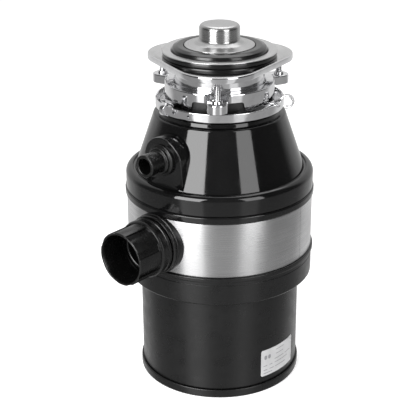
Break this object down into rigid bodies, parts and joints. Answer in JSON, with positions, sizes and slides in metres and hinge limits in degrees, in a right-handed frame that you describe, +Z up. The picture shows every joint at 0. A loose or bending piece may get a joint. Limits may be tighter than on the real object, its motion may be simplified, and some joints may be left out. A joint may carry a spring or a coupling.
{
  "type": "kitchen garbage disposal",
  "caption": "Under-sink food waste disposer with three-bolt sink mount, stopper, side drain outlet and dishwasher inlet, grinding turntable and motor.",
  "frame": {"origin": "centre of the flat bottom, on the motor's axis", "axes": "+Z up along the motor's axis towards the sink; -Y out of the drain outlet and the dishwasher inlet; +X towards the rating label"},
  "size_m": [0.1938, 0.243, 0.3715],
  "materials": {
    "polished_steel": "polished",
    "brushed_steel": "satin brushed",
    "stainless": "satin",
    "spring_steel": "dull steel",
    "cast_aluminium": "cast",
    "lamination": "matte",
    "copper": "enamelled copper",
    "rubber": "smooth",
    "plastic_gloss": "gloss",
    "plastic_satin": "satin",
    "plastic_grey": "matte",
    "button_red": "satin",
    "label": "printed film"
  },
  "bodies": {
    "root": {"sink_flange": "polished_steel", "snap_ring": "spring_steel", "flange_gasket": "rubber", "sink_gasket": "rubber", "backup_plate": "polished_steel", "upper_mounting_ring": "polished_steel", "mounting_gasket": "rubber", "splash_guard": "rubber", "hopper_cover": "plastic_gloss", "upper_trim_ring": "plastic_gloss", "steel_band": "brushed_steel", "lower_trim_ring": "plastic_satin", "motor_can": "plastic_satin", "power_cord_grommet": "rubber", "base_cover": "plastic_satin", "base_screw_1": "spring_steel", "base_screw_2": "spring_steel", "base_screw_3": "spring_steel", "rating_label": "label", "discharge_tube": "plastic_satin", "outlet_gasket": "rubber", "outlet_saddle": "plastic_satin", "outlet_seal": "rubber", "dishwasher_inlet": "plastic_satin", "drain_chamber": "cast_aluminium", "shredder_ring": "stainless", "stator_core": "lamination", "upper_winding": "copper", "lower_winding": "copper", "lower_end_frame": "cast_aluminium", "through_bolt_1": "spring_steel", "through_bolt_2": "spring_steel", "through_bolt_3": "spring_steel", "through_bolt_4": "spring_steel", "lower_bearing": "stainless", "upper_bearing": "stainless", "shaft_seal": "rubber", "start_capacitor": "plastic_grey", "start_relay": "plastic_grey", "overload_protector": "plastic_grey", "motor_leads": "plastic_grey"},
    "stopper": {"stopper_cap": "brushed_steel", "stopper_seal": "rubber", "stopper_plug": "plastic_satin"},
    "locking_ring": {"lower_mounting_ring": "polished_steel"},
    "screw_1": {"mounting_screw_1": "polished_steel"},
    "screw_2": {"mounting_screw_2": "polished_steel"},
    "screw_3": {"mounting_screw_3": "polished_steel"},
    "rotor": {"motor_shaft": "spring_steel", "rotor_core": "lamination", "turntable": "stainless", "turntable_nut": "spring_steel", "impeller_pin_1": "stainless", "impeller_pin_2": "stainless"},
    "swing_impeller_1": {"impeller_1": "stainless"},
    "swing_impeller_2": {"impeller_2": "stainless"},
    "drain_nut": {"outlet_nut": "plastic_satin"},
    "reset_button_body": {"reset_button": "button_red"}
  },
  "joints": [
    {"name": "stopper_lift", "type": "slide", "parent": "root", "child": "stopper", "axis": [0, 0, 1], "range_m": [0, 0.06]},
    {"name": "mounting_ring_turn", "type": "hinge", "parent": "root", "child": "locking_ring", "pos_m": [0, 0, 0.2935], "axis": [0, 0, 1], "range_deg": [0, 30]},
    {"name": "mounting_screw_1_turn", "type": "hinge", "parent": "root", "child": "screw_1", "pos_m": [0.04205, -0.05344, 0.318], "axis": [0, 0, 1], "continuous": true},
    {"name": "mounting_screw_2_turn", "type": "hinge", "parent": "root", "child": "screw_2", "pos_m": [-0.0673, -0.0097, 0.318], "axis": [0, 0, 1], "continuous": true},
    {"name": "mounting_screw_3_turn", "type": "hinge", "parent": "root", "child": "screw_3", "pos_m": [0.02525, 0.06314, 0.318], "axis": [0, 0, 1], "continuous": true},
    {"name": "motor_spin", "type": "hinge", "parent": "root", "child": "rotor", "pos_m": [0, 0, 0.15], "axis": [0, 0, 1], "continuous": true},
    {"name": "impeller_1_swing", "type": "hinge", "parent": "rotor", "child": "swing_impeller_1", "pos_m": [0.045, 0, 0.205], "axis": [0, 0, 1], "continuous": true},
    {"name": "impeller_2_swing", "type": "hinge", "parent": "rotor", "child": "swing_impeller_2", "pos_m": [-0.045, 0, 0.205], "axis": [0, 0, 1], "continuous": true},
    {"name": "outlet_nut_turn", "type": "hinge", "parent": "root", "child": "drain_nut", "pos_m": [0, -0.125, 0.17], "axis": [0, 1, 0], "continuous": true},
    {"name": "reset_button_press", "type": "slide", "parent": "root", "child": "reset_button_body", "axis": [0, 0, 1], "range_m": [0, 0.003], "stiffness_N_per_m": 250}
  ]
}
